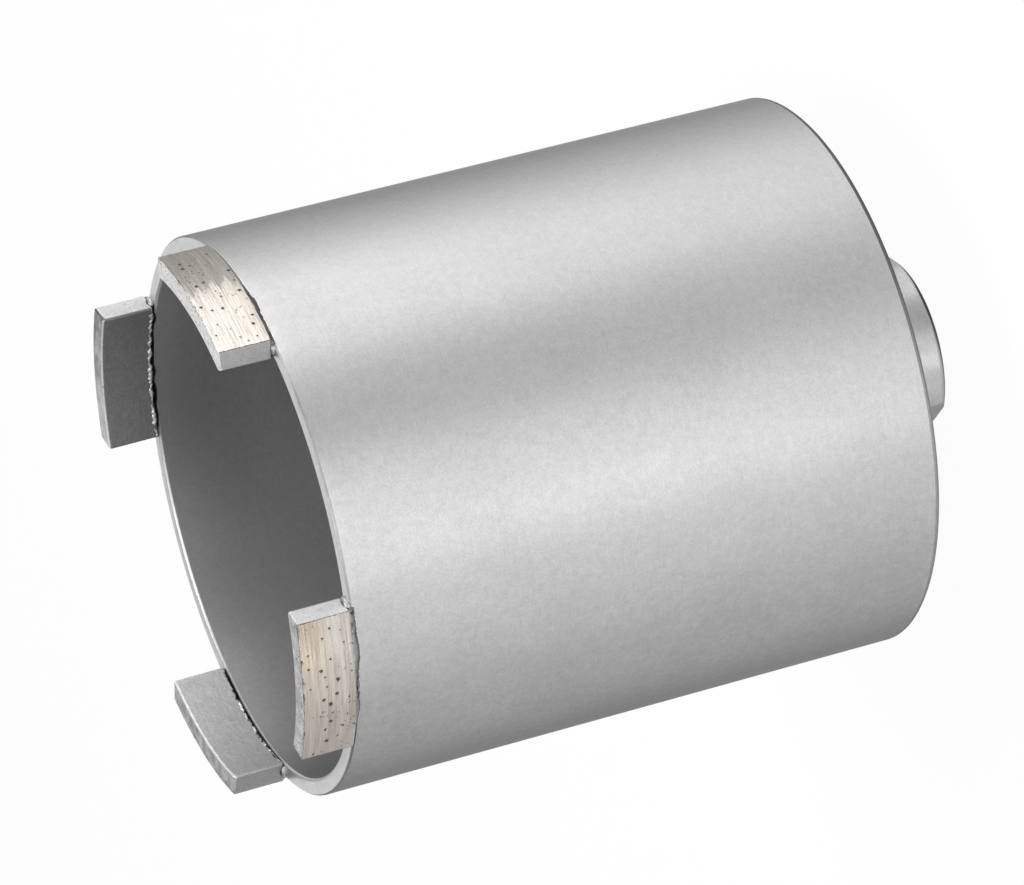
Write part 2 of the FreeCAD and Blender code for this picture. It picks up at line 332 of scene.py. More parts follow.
def silver_finish(name, level, roughness, stretched=0.45, brush=0.5, edge=0.62, lacquer_shade_and_scorch=0.08,
                  metal=1.0):
    """Satin silver over steel, brushed round the axis, at a grey level and roughness.

    Its tone is the sum of speckle, strokes, clouds and blotches. It has the edge level at a
    glancing angle, and a dark level where its mark of painted shade, with some scorch, is 1.
    A thick coat of lacquer is matt, so its metal share is below 1."""
    finish, shader, place = new_finish(name)
    strokes = grain(place, BRUSH_STRETCH, detail=3.0, roughness=0.6)
    speckle = grain(place, SPECKLE_STRETCH, detail=1.5)
    cloud = grain(place, CLOUD_STRETCH)
    blotch = grain(place, BLOTCH_STRETCH, detail=3.0, roughness=0.6)
    tone = plus(swing(speckle, 0.5), swing(strokes, 0.5 * brush), swing(cloud, 0.15),
                swing(blotch, 0.35))
    share = spread(tone, -1.0, 1.0)
    colour = tint(share, grey(level * 0.86, 0.004), grey(level * 1.12, -0.002))
    colour = tint(mark("lacquer_shade_and_scorch"), colour, grey(lacquer_shade_and_scorch, 0.01))
    gloss = spread(share, 0.0, 1.0, roughness + 0.05, roughness - 0.05)
    relief = plus(times(speckle, 0.6), times(strokes, brush))
    dress(shader, colour, gloss, (relief, *BRUSH_RELIEF), edge, metal, stretched)
    return finish


barrel_silver = silver_finish("barrel_silver", 0.47, 0.48, stretched=0.6, edge=0.3)
inside_silver = silver_finish("inside_silver", 0.465, 0.5, stretched=0.2, edge=0.5, lacquer_shade_and_scorch=0.012,
                              metal=0.6)
rim_silver = silver_finish("rim_silver", 0.64, 0.32, stretched=0.0, brush=0.8, edge=0.95,
                           lacquer_shade_and_scorch=0.03)
hub_silver = silver_finish("hub_silver", 0.45, 0.4, stretched=0.85, edge=0.5, lacquer_shade_and_scorch=0.06)
print("silver finishes:", barrel_silver.name, inside_silver.name, rim_silver.name,
      hub_silver.name)

# %% [markdown]
# ## Outlines that turn into rings
#
# The barrel, the back plate and the hub are turned parts, so each is the closed outline of
# its cut face, carried round the axis. The corners of an outline are softened a little,
# because a real edge catches a thin line of light, and that line draws the rim in the picture.


# %% Outlines and turning
def softened(corners, cut, steps=5):
    """Round the corners of a closed outline.

    Each corner becomes the curve (1-t)^2 A + 2t(1-t) C + t^2 B, where C is the corner and
    A and B lie at the cut's length before and after it on the outline's two edges."""
    corners = np.asarray(corners, float)
    cut = np.broadcast_to(np.asarray(cut, float), len(corners))[:, None]
    to_last, to_next = (np.roll(corners, step, axis=0) - corners for step in (1, -1))
    before = corners + cut * to_last / np.linalg.norm(to_last, axis=1)[:, None]
    after = corners + cut * to_next / np.linalg.norm(to_next, axis=1)[:, None]
    t = np.linspace(0, 1, steps)[None, :, None]
    curve = (1 - t) ** 2 * before[:, None] + 2 * t * (1 - t) * corners[:, None]
    return (curve + t ** 2 * after[:, None]).reshape(-1, 2)


def filled_in(outline, longest):
    """Add points to a closed outline so that no step is longer than the given length.

    The outline is read as a curve over its own length and sampled at its own points and at
    even places between them."""
    closed = np.vstack([outline, outline[:1]])
    steps = np.linalg.norm(np.diff(closed, axis=0), axis=1)
    length = np.concatenate([[0], np.cumsum(steps)])
    extra = np.concatenate([np.linspace(a, b, int(np.ceil((b - a) / longest)) + 1)[:-1]
                            for a, b in zip(length[:-1], length[1:])])
    return np.stack([np.interp(extra, length, closed[:, i]) for i in range(2)], axis=-1)


def turned(outline, columns):
    """Carry an outline of radius and height round the axis, as a grid of points."""
    angle = full_turn(columns)[:, None]
    return round_axis(outline[None, :, 0], angle, outline[None, :, 1])


print("a softened square has", len(softened([(1, 0), (1, 1), (0, 1), (0, 0)], 0.1)), "points")

# %% [markdown]
# ## The barrel
#
# The barrel is a drawn steel tube whose mouth was faced on a lathe, with both of its edges
# broken, and whose back is bevelled inside for the weld. Its bore has a thicker, matt coat,
# and the faced rim is the brightest. One mark per point, worked out from the bearing, the
# distance from the axis and the height, darkens the lacquer: along the bore's edge under the
# segments it is the painted shadow of the gap, with some weld scorch; on the bevel at the
# back, most of all on one side, a painted dark reflection; and elsewhere painted shade, on
# the rim's face and outer bevel on some sides, on the outside towards the mouth on one side,
# and in patches inside the mouth.

# %% Barrel
BARREL_COLUMNS = 384
# The band at the back edge that takes a painted dark reflection, how deep and how far round each
# segment the painted shadow along the bore reaches, and three humps of painted shade inside the
# mouth as share, bearing and width.
DARK_EDGE_BAND = 0.3
SCORCH_SHADE_DEPTH, SCORCH_SHADE_HALF_ANGLE = 0.3, 15.2
MOUTH_INSIDE_SHADE = ((0.57, 62, 38), (0.2, 125, 22), (0.6, 172, 28))
OUTSIDE_FINISH, BORE_FINISH, RIM_FINISH = 0, 1, 2


def turn_from(bearing, middle):
    """Degrees from a middle to a bearing, the short way round."""
    return (bearing - middle + 180) % 360 - 180


def barrel_shade(grid):
    """Darkness of the lacquer from 0 to 1: the largest of the parts below.

    A hump of bearing limits most parts to one side. The first follows a ragged depth under the
    segments: the painted shadow of the gap, with some weld scorch. Back is a painted dark
    reflection on the bevel, far and near are painted shade on the rim's face and its bevel, the
    next is painted shade on the outside towards the mouth, and the last is painted shade inside
    it, the sum of three humps."""
    bearing = np.degrees(np.arctan2(grid[..., 1], grid[..., 0]))
    away, height = np.hypot(grid[..., 0], grid[..., 1]), grid[..., 2]
    depth = RIM - height
    from_segment = np.min([np.abs(turn_from(bearing, middle))
                           for middle in SEGMENT_ANGLES.values()], axis=0)
    reach = SCORCH_SHADE_DEPTH * (0.75 + 1.1 * patchy(bearing * 0.45, 0 * bearing, 31) ** 1.5)
    reach = reach * np.where(np.abs(bearing - SEGMENT_ANGLES[2]) < 20, 0.25, 1.0)
    scorch_shade = 1 - eased(depth, reach - 0.06, reach + 0.1)
    scorch_shade = scorch_shade * (1 - eased(from_segment, SCORCH_SHADE_HALF_ANGLE, SCORCH_SHADE_HALF_ANGLE + 1.4))
    scorch_shade = scorch_shade * (away < BORE + 0.45)
    back = (height < BACK + BACK_CHAMFER + DARK_EDGE_BAND + 0.05) * (away > BORE + 0.5)
    back = back * (0.38 + 0.55 * hump(bearing, -55, 45))
    far = 0.2 * hump(bearing, 92, 32) * ((depth < 0.02) & (away > BORE + 0.2))
    on_bevel = (depth > 0.015) & (depth < RIM_CHAMFER - 0.015)
    on_bevel = on_bevel & (away > OUTER - RIM_CHAMFER + 0.015)
    near = eased(-bearing, 62, 74) * (1 - 0.85 * eased(-bearing, 88, 110))
    near = 0.78 * near * on_bevel
    mouth_side_shade = 0.12 * hump(bearing, -104, 14) * eased(height, 40, RIM + 10)
    mouth_side_shade = mouth_side_shade * (away > OUTER - 0.02)
    mouth_inside_shade = sum(share * hump(turn_from(bearing, middle), 0, width)
               for share, middle, width in MOUTH_INSIDE_SHADE)
    mouth_inside_shade = mouth_inside_shade * (eased(height, RIM - 24, RIM - 4) * (away < BORE + 0.02))
    return np.maximum.reduce([scorch_shade, back, far, near, mouth_side_shade, mouth_inside_shade])


barrel_outline = softened([
    (BORE, BACK + WELD_LEG), (BORE + WELD_LEG, BACK), (OUTER - BACK_CHAMFER, BACK),
    (OUTER, BACK + BACK_CHAMFER), (OUTER, BACK + BACK_CHAMFER + DARK_EDGE_BAND),
    (OUTER, RIM - RIM_CHAMFER), (OUTER - RIM_CHAMFER, RIM), (BORE + RIM_CHAMFER, RIM),
    *[(BORE, RIM - RIM_CHAMFER - 0.2 * step) for step in range(5)]], cut=0.09)
barrel_grid = turned(filled_in(barrel_outline, 2.0), BARREL_COLUMNS)
middles = barrel_grid.reshape(-1, 3)[ring_faces(*barrel_grid.shape[:2])].mean(axis=1)
in_bore = np.hypot(middles[:, 0], middles[:, 1]) < BORE + RIM_CHAMFER
faced = (middles[:, 2] > RIM - 0.05) | (middles[:, 2] < BACK + 0.05)
barrel_chosen = np.where(in_bore, BORE_FINISH, OUTSIDE_FINISH)
barrel_chosen[faced] = RIM_FINISH
ring_piece("barrel_wall", barrel_grid, [barrel_silver, inside_silver, rim_silver],
           "silver_steel", replaced=("barrel",), chosen=barrel_chosen,
           marks={"lacquer_shade_and_scorch": barrel_shade(barrel_grid)})

# %% [markdown]
# ## The back plate
#
# A steel disc closes the barrel. It was faced on a lathe, so fine rings run round its hole.
# It is turned in the same way, and its finish reads the distance from the axis for the rings.


# %% Turned steel and the back plate
def faced_finish(name, level, roughness):
    """Silver over lathe-faced steel: rings from noise along the distance from the axis."""
    finish, shader, place = new_finish(name)
    flat = node("VectorMath", {0: place, 1: (1.0, 1.0, 0.0)}, operation="MULTIPLY")
    away = node("VectorMath", {0: flat.outputs[0]}, operation="LENGTH").outputs["Value"]
    radius = node("CombineXYZ", {"X": away}).outputs[0]
    rings = grain(radius, (5.0, 1.0, 1.0), detail=3.0, roughness=0.7)
    speckle = grain(place, SPECKLE_STRETCH)
    share = spread(plus(rings, times(speckle, 0.6)), 0.5, 1.1)
    colour = tint(share, grey(level * 0.85), grey(level * 1.12))
    gloss = spread(share, 0.0, 1.0, roughness + 0.06, roughness - 0.06)
    relief = plus(rings, times(speckle, 0.3))
    dress(shader, colour, gloss, (relief, *BRUSH_RELIEF), edge=0.7)
    return finish


PLATE_HOLE = SPIGOT + 0.05
faced_silver = faced_finish("faced_silver", 0.48, 0.38)
plate_outline = softened([
    (PLATE_HOLE, BACK), (PLATE_EDGE - WELD_LEG, BACK), (PLATE_EDGE, BACK + WELD_LEG),
    (PLATE_EDGE, PLATE_INSIDE), (PLATE_HOLE, PLATE_INSIDE)], cut=0.05, steps=3)
ring_piece("back_disc", turned(filled_in(plate_outline, 1.5), 192), [faced_silver],
           "silver_steel", replaced=("back_plate",))

# %% [markdown]
# ## The hub
#
# The hub is turned from bar: a collar with a broken end edge and a spigot through the plate.
# Two flats take a spanner, and its hole has the right-hand thread for the drill's spindle.
# A flat is cut by limiting the radius: a plane at distance d from the axis lies at
# d / cos(angle) from it, so each point takes the smaller of the two radii. The thread is the
# same idea inside: the radius follows a 60 degree ridge that climbs with the angle.
# The end edge is darkened as a painted dark reflection, more so on one side.

# %% Hub
FLAT_DISTANCE, FLAT_TOP, FLAT_TURN = 12.0, 9.0, math.radians(15.3)
HUB_CHAMFER = 0.85
PITCH, THREAD_CREST, THREAD_ROOT = 2.0, 6.93, 8.05
MOUTH = 8.25
HUB_COLUMNS, THREAD_ROWS = 240, 160
SHADE_BEARING, SHADE_WIDTH = -68, 38

# Each corner is a radius, a height and the length of its rounding.
hub_corners = np.array([
    (MOUTH, 0.0, 0.1), (HUB_EDGE - HUB_CHAMFER, 0.0, 0.08),
    *[(HUB_EDGE - HUB_CHAMFER + step, step, 0.02) for step in (0.14, 0.28, 0.42, 0.56)],
    (HUB_EDGE, HUB_CHAMFER, 0.1), (HUB_EDGE, HUB_CHAMFER + DARK_EDGE_BAND, 0.1),
    (HUB_EDGE, FLAT_TOP - 0.02, 0.005), (HUB_EDGE, FLAT_TOP + 0.02, 0.005),
    (HUB_EDGE, BACK, 0.1), (SPIGOT, BACK, 0.1), (SPIGOT, PLATE_INSIDE, 0.15),
    (MOUTH, PLATE_INSIDE, 0.1)])
hub_rows = filled_in(softened(hub_corners[:, :2], hub_corners[:, 2]), 0.6)
last_outside = np.where(hub_rows[:, 1] > PLATE_INSIDE - 1e-6)[0][-1]
outside_radius, outside_height = hub_rows[:last_outside + 1].T[:, None]
angle = full_turn(HUB_COLUMNS)[:, None]
flat_angle = np.abs(np.cos(angle - FLAT_TURN))
plane = FLAT_DISTANCE / np.maximum(flat_angle, 0.2)
flattened = np.where(outside_height < FLAT_TOP, np.minimum(outside_radius, plane),
                     outside_radius)
bore_height = np.linspace(PLATE_INSIDE - 0.02, 0.02, THREAD_ROWS)[None, :]
climb = np.mod(bore_height / PITCH - angle / (2 * np.pi), 1.0)
ridge = np.clip(1.2 - np.abs(climb - 0.5) * 2.6, 0.0, 1.0)
thread = THREAD_ROOT + (THREAD_CREST - THREAD_ROOT) * ridge
lead_in = MOUTH - np.minimum(bore_height, PLATE_INSIDE - bore_height)
hub_grid = np.concatenate([round_axis(flattened, angle, outside_height),
                           round_axis(np.maximum(thread, lead_in), angle, bore_height)], axis=1)
hub_away = np.hypot(hub_grid[..., 0], hub_grid[..., 1])
# The end edge takes a painted dark reflection, deeper and wider on one side, and none on the
# flats.
shade_side = hump(turn_from(np.degrees(angle), SHADE_BEARING), 0, SHADE_WIDTH)
shade_limit = 0.2 + 0.6 * shade_side
end_edge = 1 - eased(hub_grid[..., 2], shade_limit - 0.06, shade_limit + 0.08)
on_flat = hub_away * flat_angle > FLAT_DISTANCE - 0.01
hub_shade = end_edge * (hub_away > FLAT_DISTANCE) * ~on_flat * (0.55 + 0.45 * shade_side)
ring_piece("threaded_hub", hub_grid, [hub_silver], "silver_steel", replaced=("hub",),
           sharp=25.0, marks={"lacquer_shade_and_scorch": hub_shade})

# %% [markdown]
# ## The welds at the back
#
# A weld bead is a row of frozen ripples: each drop overlaps the one before, so seen from
# above the ripples are arcs that point along the seam. The bead is a ring again, and its
# crown swells with the fraction of the way through each ripple, which starts later towards
# the bead's sides. A slow random part keeps the drops from being all alike.


# %% Weld finish and rippled rings
def weld_finish(name, level, roughness, scorch_shade=0.05, metal=1.0):
    """Silver over weld metal: mottled, rougher, and near black where its mark of scorch and
    painted shade is 1.
    """
    finish, shader, place = new_finish(name)
    mottle = grain(place, 2.6, detail=4.0, roughness=0.65)
    fine = grain(place, 9.0)
    share = spread(plus(mottle, times(fine, 0.5)), 0.45, 1.05)
    clean = tint(share, grey(level * 0.62, 0.01), grey(level * 1.25, -0.01))
    colour = tint(mark("weld_scorch_and_shade"), clean, grey(scorch_shade, 0.03))
    gloss = spread(share, 0.0, 1.0, roughness + 0.12, roughness - 0.1)
    relief = plus(mottle, times(fine, 0.4))
    dress(shader, colour, gloss, (relief, 0.5, 0.08), edge=0.7, metal=metal)
    return finish


def ripples(turns, sideways, bend, seed):
    """Heights from 0 to 1 along a bead: a saw-tooth with a soft back, delayed at the sides."""
    phase = turns - bend * sideways ** 2 + 0.5 * patchy(turns * 0.35, sideways * 0.7, seed)
    part = np.mod(phase, 1.0)
    return np.sin(np.pi * part ** 0.6) * (0.65 + 0.35 * patchy(np.floor(phase), 0 * part, seed))


def bead_ring(root, toe_one, toe_two, crown, height, count, columns, rows, seed):
    """A ring bead over a root: its face bows from one toe to the other, with ripples on it.

    The face is (1-s) A + s B, moved towards the crown by 4s(1-s) of its height, plus the
    ripples, which fade out at both toes."""
    s = np.linspace(0, 1, rows)[None, :]
    angle = full_turn(columns)[:, None]
    turns = angle / (2 * np.pi) * count
    waves = ripples(turns, 2 * s - 1, 0.7, seed) * height * (4 * s * (1 - s)) ** 0.7
    one, two, up = (np.asarray(v, float) for v in (toe_one, toe_two, crown))
    lift = 4 * s * (1 - s)
    across = [(1 - s) * one[i] + s * two[i] + up[i] * lift
              + up[i] / np.linalg.norm(up) * waves for i in range(2)]
    face = np.stack(np.broadcast_arrays(*across), axis=-1)
    base = np.broadcast_to(np.asarray(root, float), (columns, len(root), 2))
    loop = np.concatenate([face, base], axis=1)
    return round_axis(loop[..., 0], angle, loop[..., 1])


weld_silver = weld_finish("weld_silver", 0.38, 0.42)
# The rope takes a brighter copy of the weld finish: a painted highlight for its glints.
rope_silver = weld_finish("rope_silver", 0.58, 0.38, scorch_shade=0.015, metal=0.6)
bead_silver = weld_finish("bead_silver", 0.4, 0.44, scorch_shade=0.03, metal=0.8)
print("weld finishes:", weld_silver.name, rope_silver.name, bead_silver.name)

# %% Weld round the plate and weld round the hub
HUB_LEG = 3.0
plate_bead = bead_ring(root=[(BORE, BACK + WELD_LEG), (PLATE_EDGE, BACK + WELD_LEG)],
                       toe_one=(PLATE_EDGE - WELD_LEG, BACK + 0.02),
                       toe_two=(BORE + WELD_LEG, BACK + 0.02), crown=(0.0, -0.28),
                       height=0.14, count=150, columns=900, rows=17, seed=11)
hub_bead = bead_ring(root=[(HUB_EDGE - 0.05, BACK + 0.05)],
                     toe_one=(HUB_EDGE + HUB_LEG, BACK), toe_two=(HUB_EDGE, BACK - HUB_LEG),
                     crown=(-0.22, 0.22), height=-0.2, count=52, columns=720, rows=21, seed=12)
ring_piece("plate_bead", plate_bead, [weld_silver], "silver_weld", replaced=("plate_weld",),
           sharp=60.0)
ring_piece("hub_bead", hub_bead, [weld_silver], "silver_weld", replaced=("hub_weld",),
           sharp=60.0)

# %% [markdown]
# ## Bond, paint and grit of the segments
#
# A segment is pressed from metal powder and diamond grit and sintered. It was painted with
# the rest of the bit, and then its outside was ground true. So the outside shows the bare
# bond with fine streaks round the axis, and the other faces keep the silver paint.
# The mesh carries six marks. Ground says where the paint is gone, and stain where dirt sits
# round the diamonds and along the edges. Warm, dull and fresh set the colour of the bond.
# The sixth darkens the paint face by face as painted shade, and less at the rounded corners,
# which paints a highlight there. The outside and the painted faces take two copies of the
# finish, because only the ground streaks stretch the highlights.

# %% Segment finish
BOND_PLAIN = ((0.56, 0.52, 0.475, 1.0), (0.52, 0.5, 0.47, 1.0))
BOND_WARM = ((0.56, 0.465, 0.355, 1.0), (0.55, 0.485, 0.41, 1.0))
DULL_PLAIN, DULL_WARM = (0.345, 0.325, 0.3, 1.0), (0.36, 0.285, 0.21, 1.0)
FRESH_GROUND = (0.76, 0.71, 0.65, 1.0)
STREAK_DARK, STREAK_PALE = (0.26, 0.22, 0.18, 1.0), (0.72, 0.69, 0.64, 1.0)
STAIN_DARK = (0.052, 0.041, 0.032, 1.0)


def bond_colour(place, streak):
    """The bond: patches of two tones, tan where warm is 1, greyer where dull is 1 and paler
    where fresh is 1, with dark and pale streaks over them."""
    patch = spread(grain(place, (0.22, 0.22, 0.3)), 0.35, 0.65)
    warm = mark("warm")
    bond = tint(warm, tint(patch, *BOND_PLAIN), tint(patch, *BOND_WARM))
    bond = tint(mark("dull"), bond, tint(warm, DULL_PLAIN, DULL_WARM))
    bond = tint(mark("fresh"), bond, FRESH_GROUND)
    bond = tint(spread(streak, 0.38, 0.51, 0.5, 0.0), bond, STREAK_DARK)
    return tint(spread(streak, 0.52, 0.64, 0.0, 0.35), bond, STREAK_PALE)


def paint_colour(place, fine):
    """The silver paint: fine specks, darker blots and dots, and dark where its mark of painted
    shade is 1.
    """
    speck = spread(fine, 0.32, 0.62)
    dots = spread(grain(place, 4.6, detail=1.0), 0.3, 0.42, 0.45, 0.0)
    mottle = grain(place, 0.8, detail=4.0, roughness=0.65)
    paint = tint(speck, grey(0.56), grey(0.76))
    paint = tint(spread(mottle, 0.4, 0.6, 0.24, 0.0), paint, grey(0.34, 0.04))
    paint = tint(dots, paint, grey(0.22, 0.03))
    return tint(mark("painted_shade"), paint, tint(speck, grey(0.11), grey(0.165)))


def segment_finish(name, stretched):
    """Bond where the mark ground is 1, paint where it is 0, and dark where stain is 1."""
    finish, shader, place = new_finish(name)
    lines = grain(place, (0.16, 0.16, 5.5), detail=3.0, roughness=0.65)
    hair = grain(place, (0.5, 0.5, 16.0))
    broad = grain(place, (0.09, 0.09, 1.7), detail=1.0)
    fine = grain(place, 6.0)
    streak = plus(times(lines, 0.5), times(hair, 0.2), times(broad, 0.3))
    edge = plus(mark("ground"), swing(streak, 0.28))
    share = spread(edge, 0.35, 0.65)
    colour = tint(share, paint_colour(place, fine), bond_colour(place, streak))
    torn = plus(mark("stain"), swing(fine, 0.3))
    colour = tint(spread(torn, 0.25, 0.7, 0.0, 0.95), colour, STAIN_DARK)
    gloss = plus(spread(share, 0.0, 1.0, 0.46, 0.32), times(fine, -0.06))
    relief = plus(times(streak, 1.2), times(fine, 0.5))
    metal = spread(share, 0.0, 1.0, 0.3, 1.0)
    dress(shader, colour, gloss, (relief, 0.45, 0.04), 0.6, metal, stretched)
    return finish


segment_bond = segment_finish("segment_bond", 0.75)
segment_paint = segment_finish("segment_paint", 0.0)
print("segment finishes:", segment_bond.name, segment_paint.name)

# %% [markdown]
# ## Grid of a segment
#
# A segment's section is a rectangle with two crisp ground corners outside and two soft ones
# inside. It is carried along the segment's length, and its two ends are parallel: a point at
# distance y from the middle plane and at radius r lies at x = sqrt(r^2 - y^2). Towards each
# end the whole section shrinks a little along a quarter circle, which rounds the end's
# edges, and a flat cap of smaller and smaller copies of it closes the end. All four
# segments share this grid: x runs outwards from the inner face, y along and z up.

# %% Grid of a segment
SEGMENT_RADII = (0.08, 0.32, 0.12, 0.08)
SEGMENT_STEPS = (72, 28, 40, 14)
SEGMENT_ROWS = 190
TOP_GAP = 0.04
END_SOFTNESS = 0.42
OUTSIDE_SHARE, FOOT_SHARE = 0.05, 0.2
CAP_SHARES = np.array([0.995, 0.93, 0.8, 0.6, 0.35, 0.12])


def section_of_segment(depth, height, radii, steps, arc_steps=7):
    """Walk round a rectangle with rounded corners and give its points and outward normals.

    It starts up the outside, and goes over the tip, down the inside and along the foot.
    A corner's arc is its centre plus its radius times the normal, turned by 90 degrees."""
    corners = np.array([(depth, height), (0, height), (0, 0), (depth, 0)], float)
    normals = np.array([(1, 0), (0, 1), (-1, 0), (0, -1)], float)
    points, outward = [], []
    for k in range(4):
        facing, after = normals[k], normals[(k + 1) % 4]
        last, here = corners[k - 1], corners[k]
        centre = here - radii[k] * (facing + after)
        last_centre = last - radii[k - 1] * (normals[k - 1] + facing)
        t = np.linspace(0, 1, steps[k] + 1)[1:-1, None]
        side = last_centre + radii[k - 1] * facing
        side = side + t * (centre + radii[k] * facing - side)
        turn = np.linspace(0, np.pi / 2, arc_steps)[:, None]
        arc = np.cos(turn) * facing + np.sin(turn) * after
        points += [side, centre + radii[k] * arc]
        outward += [np.broadcast_to(facing, side.shape), arc]
    return np.concatenate(points), np.concatenate(outward)


def set_in_place(across, along, height, number, lean=0.0):
    """Bend a segment's own coordinates round the axis and turn them to its place.

    Across is the radius, along the distance from the middle plane. Lean, in degrees, tips
    the segment sideways on the rim, and lowers it so that its higher end stays at the tip."""
    tip, turn = math.radians(lean), math.radians(SEGMENT_ANGLES[number])
    middle = (TIP + FOOT) / 2
    past, above = along, height - middle
    along = past * math.cos(tip) - above * math.sin(tip)
    height = middle + past * math.sin(tip) + above * math.cos(tip) - HALF * abs(math.sin(tip))
    x = np.sqrt(across ** 2 - along ** 2)
    c, s = math.cos(turn), math.sin(turn)
    return np.stack([c * x - s * along, s * x + c * along, height], axis=-1)


loop, outward = section_of_segment(SEGMENT_DEPTH, SEGMENT_HEIGHT - TOP_GAP, SEGMENT_RADII,
                                   SEGMENT_STEPS)
even = np.linspace(-1, 1, SEGMENT_ROWS)
row_places = HALF * np.sign(even) * (1 - (1 - np.abs(even)) ** 1.15)
y, z = np.meshgrid(row_places, loop[:, 1], indexing="ij")
x = loop[None, :, 0]
look_out, look_up = outward[None, :, 0], outward[None, :, 1]
faces_out, faces_up = np.clip(look_out, 0, 1), np.clip(look_up, 0, 1)
on_tip = look_up > 0.5

past_start = np.clip((np.abs(row_places) - (HALF - END_SOFTNESS)) / END_SOFTNESS, 0, 1)
inset = END_SOFTNESS * (1 - np.sqrt(1 - past_start ** 2))[:, None]
sideways = 2 * loop[:, 0] / SEGMENT_DEPTH - 1
upwards = 2 * loop[:, 1] / (SEGMENT_HEIGHT - TOP_GAP) - 1
crisp = 1 - 0.35 * (sideways + 1)
drawn_in = inset * (sideways * np.where(sideways > 0, OUTSIDE_SHARE, 1.0))
drawn_down = inset * (upwards * np.where(upwards < 0, FOOT_SHARE, crisp))

cap_shares = np.concatenate([CAP_SHARES[::-1], np.ones(SEGMENT_ROWS), CAP_SHARES])[:, None]
cap_rows = np.clip(np.arange(len(cap_shares)) - len(CAP_SHARES), 0, SEGMENT_ROWS - 1)
on_cap = (cap_shares < 1) * np.ones((len(cap_rows), len(loop)))
ground_side = faces_out + np.roll(faces_out, -1) > 1.3
ground_side = ground_side & (on_cap[:-1] + on_cap[1:] == 0)
segment_chosen = np.concatenate([np.where(ground_side, 0, 1).ravel(),
                                 np.ones(2 * len(loop), int)])
print(f"segment grid: {len(cap_rows)} rows of {len(loop)} points")

# %% [markdown]
# ## Diamond grains
#
# Synthetic diamonds for masonry are blocky crystals with eight triangular and six square
# faces. One such crystal has twelve corners, all the places of (1, 1, 0) with both signs.
# Each grain gets its own size and turn, and sits with a little more than half of it in the
# bond. The grains of one segment are one mesh, dark and glassy against the metal.

# %% Grain crystal and its finish
CRYSTAL = np.array([(a, b, 0) for a in (-1, 1) for b in (-1, 1)]
                   + [(a, 0, b) for a in (-1, 1) for b in (-1, 1)]
                   + [(0, a, b) for a in (-1, 1) for b in (-1, 1)], float) / math.sqrt(2)


def crystal_faces():
    """Find the crystal's faces: the corners that reach furthest along a face's direction,
    in order of their angle round it."""
    squares = [s * np.eye(3)[i] for i in range(3) for s in (1, -1)]
    triangles = [np.array(s, float) for s in np.ndindex(2, 2, 2)]
    found = []
    for way in squares + [2 * t - 1 for t in triangles]:
        reach = CRYSTAL @ way
        corners = np.where(reach > reach.max() - 1e-6)[0]
        side = CRYSTAL[corners[0]] - way * (CRYSTAL[corners[0]] @ way) / (way @ way)
        other = np.cross(way, side)
        turn = np.arctan2(CRYSTAL[corners] @ other / np.linalg.norm(other),
                          CRYSTAL[corners] @ side / np.linalg.norm(side))
        found.append(corners[np.argsort(turn)])
    return ([f for f in found if len(f) == 4], [f for f in found if len(f) == 3])


def random_turns(chance, count):
    """Random rotation matrices from random unit quaternions."""
    quaternions = chance.normal(size=(4, count))
    w, x, y, z = quaternions / np.linalg.norm(quaternions, axis=0)
    rows = [[1 - 2 * (y * y + z * z), 2 * (x * y - z * w), 2 * (x * z + y * w)],
            [2 * (x * y + z * w), 1 - 2 * (x * x + z * z), 2 * (y * z - x * w)],
            [2 * (x * z - y * w), 2 * (y * z + x * w), 1 - 2 * (x * x + y * y)]]
    return np.moveaxis(np.array(rows), 2, 0)


def scattered(count, seed, length, height, apart):
    """Choose places for grains on a face, no two closer than a distance apart."""
    chance = np.random.default_rng(seed)
    tries = np.stack([chance.uniform(-length / 2, length / 2, 40 * count),
                      chance.uniform(0, height, 40 * count)], axis=-1)
    kept = tries[:1]
    for place in tries[1:]:
        if len(kept) < count and np.linalg.norm(kept - place, axis=1).min() > apart:
            kept = np.vstack([kept, place])
    return kept


def diamond_finish(name):
    """Dark brown crystal with a glassy surface."""
    finish, shader, place = new_finish(name)
    veins = spread(grain(place, 3.0), 0.35, 0.65)
    colour = tint(veins, (0.016, 0.012, 0.009, 1.0), (0.075, 0.055, 0.035, 1.0))
    fill(shader, {"Base Color": colour, "Roughness": 0.4, "Specular IOR Level": 0.3})
    return finish


diamond_dark = diamond_finish("diamond_dark")
SQUARES, TRIANGLES = crystal_faces()
print("crystal:", len(SQUARES), "squares and", len(TRIANGLES), "triangles")

# %% [markdown]
# ## The four segments
#
# The outside gets shallow streaks from the grinding wheel. A low ridge of bond stands behind
# each diamond like the tail of a comet, because the diamond shelters it from wear, and dirt
# darkens the halo round it. Each segment leans a little on the rim, as pieces do that are
# held by a clamp while they are welded. Paint is left along the foot, the paint on the
# inside, tip or ends is darkened face by face as painted shade, and each segment is warm,
# dull or freshly ground in its own places.

# %% Looks of a segment, number by number
GRAINS = {1: (24, 101), 2: (24, 202), 3: (30, 303), 4: (30, 404)}
GRAIN_GAP, GRAIN_SMALLEST, GRAIN_RANGE = 1.15, 0.12, 0.22
HALO = {1: 1.2, 2: 1.2, 3: 1.25, 4: 1.0}
